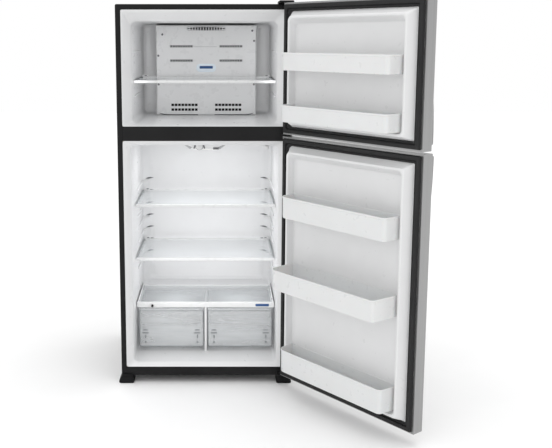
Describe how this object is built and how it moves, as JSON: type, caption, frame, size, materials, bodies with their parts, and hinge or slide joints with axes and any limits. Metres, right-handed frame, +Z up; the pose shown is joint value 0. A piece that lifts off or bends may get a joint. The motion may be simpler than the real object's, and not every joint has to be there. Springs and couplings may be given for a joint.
{
  "type": "top freezer refrigerator",
  "caption": "Free-standing two-door refrigerator with a top freezer, stainless doors hinged on the right and shown open, glass shelves, door bins and crispers.",
  "frame": {"origin": "on the floor under the middle of the cabinet, half way between its sides and half way from its front face to its back", "axes": "+Z up; +X to the right of someone facing the doors; +Y from the doors to the back"},
  "size_m": [1.2462, 1.314, 1.69],
  "materials": {
    "cabinet_paint": "black textured powder paint",
    "zinc_sheet": "zinc-coated sheet",
    "fibre_board": "pressed dark board",
    "black_steel": "satin black paint",
    "black_plastic": "satin moulded",
    "roller_plastic": "moulded",
    "white_liner": "thermoformed, soft gloss",
    "white_plastic": "moulded, soft gloss",
    "bin_plastic": "moulded, soft gloss",
    "foam": "rigid foam",
    "coil_aluminium": "mill finish",
    "heater_tube": "dull",
    "motor_metal": "plain",
    "shelf_glass": "clear tempered",
    "clear_drawer": "clear moulded",
    "lamp_glass": "frosted",
    "compressor_paint": "black gloss paint",
    "rubber": "matte",
    "gasket_vinyl": "soft black",
    "screw_steel": "zinc",
    "stainless": "fine vertical grain",
    "handle_metal": "satin"
  },
  "bodies": {
    "cabinet": {"back_panel": "zinc_sheet", "base_frame": "black_steel", "bottom_hinge": "black_steel", "bottom_rail": "black_steel", "cabinet_insulation": "foam", "cabinet_shell": "cabinet_paint", "center_mullion": "black_steel", "compartment_wall": "zinc_sheet", "compressor": "compressor_paint", "compressor_mounts": "rubber", "condenser_coil": "coil_aluminium", "condenser_fan_motor": "motor_metal", "control_housing": "white_plastic", "crisper_cover_frame": "white_plastic", "crisper_cover_glass": "shelf_glass", "defrost_heater": "heater_tube", "drain_pan": "black_plastic", "evaporator_coil": "coil_aluminium", "evaporator_cover": "white_plastic", "evaporator_fan_motor": "motor_metal", "foot_covers": "black_plastic", "freezer_liner": "white_liner", "freezer_shelf_frame": "white_plastic", "freezer_shelf_glass": "shelf_glass", "fridge_liner": "white_liner", "lamp": "lamp_glass", "lamp_socket": "white_plastic", "levelling_legs": "screw_steel", "machine_cover": "fibre_board", "middle_hinge": "black_steel", "power_inlet": "black_plastic", "screws": "screw_steel", "shelf_frames": "white_plastic", "shelf_glass": "shelf_glass", "top_hinge": "black_steel", "top_hinge_cover": "black_plastic"},
    "freezer_door": {"freezer_door_skin": "stainless", "freezer_door_liner": "white_liner", "freezer_door_insulation": "foam", "freezer_door_gasket": "gasket_vinyl", "freezer_upper_bin": "bin_plastic", "freezer_lower_bin": "bin_plastic", "freezer_handle": "handle_metal"},
    "fridge_door": {"fridge_door_skin": "stainless", "fridge_door_liner": "white_liner", "fridge_door_insulation": "foam", "fridge_door_gasket": "gasket_vinyl", "fridge_upper_bin": "bin_plastic", "gallon_bin": "bin_plastic", "fridge_lower_bin": "bin_plastic", "fridge_handle": "handle_metal"},
    "left_drawer": {"left_crisper": "clear_drawer"},
    "right_drawer": {"right_crisper": "clear_drawer"},
    "dial": {"temperature_dial": "white_plastic"},
    "light_switch": {"door_light_switch": "white_plastic"},
    "humidity_control": {"humidity_slider": "black_plastic"},
    "freezer_fan": {"evaporator_fan": "black_plastic"},
    "cooling_fan": {"condenser_fan": "black_plastic"},
    "rollers": {"rear_rollers": "roller_plastic"}
  },
  "joints": [
    {"name": "freezer_door_hinge", "type": "hinge", "parent": "cabinet", "child": "freezer_door", "pos_m": [0.3635, -0.368, 0], "axis": [0, 0, 1], "range_deg": [-127.4, 7.6]},
    {"name": "fridge_door_hinge", "type": "hinge", "parent": "cabinet", "child": "fridge_door", "pos_m": [0.3635, -0.368, 0], "axis": [0, 0, 1], "range_deg": [-128.1, 6.9]},
    {"name": "left_crisper_slide", "type": "slide", "parent": "cabinet", "child": "left_drawer", "axis": [0, -1, 0], "range_m": [0, 0.24]},
    {"name": "right_crisper_slide", "type": "slide", "parent": "cabinet", "child": "right_drawer", "axis": [0, -1, 0], "range_m": [0, 0.24]},
    {"name": "temperature_dial_turn", "type": "hinge", "parent": "cabinet", "child": "dial", "pos_m": [-0.025, -0.228, 1.06], "axis": [0, -1, 0], "range_deg": [-135, 135]},
    {"name": "door_switch_press", "type": "slide", "parent": "cabinet", "child": "light_switch", "axis": [0, 1, 0], "range_m": [0, 0.006], "stiffness_N_per_m": 150},
    {"name": "humidity_slide", "type": "slide", "parent": "cabinet", "child": "humidity_control", "axis": [1, 0, 0], "range_m": [0, 0.04]},
    {"name": "evaporator_fan_spin", "type": "hinge", "parent": "cabinet", "child": "freezer_fan", "pos_m": [0, 0.188, 1.47], "axis": [0, 1, 0], "continuous": true},
    {"name": "condenser_fan_spin", "type": "hinge", "parent": "cabinet", "child": "cooling_fan", "pos_m": [0, 0.19, 0.154], "axis": [0, 1, 0], "continuous": true},
    {"name": "rear_roller_spin", "type": "hinge", "parent": "cabinet", "child": "rollers", "pos_m": [0, 0.29, 0.018], "axis": [1, 0, 0], "continuous": true}
  ]
}
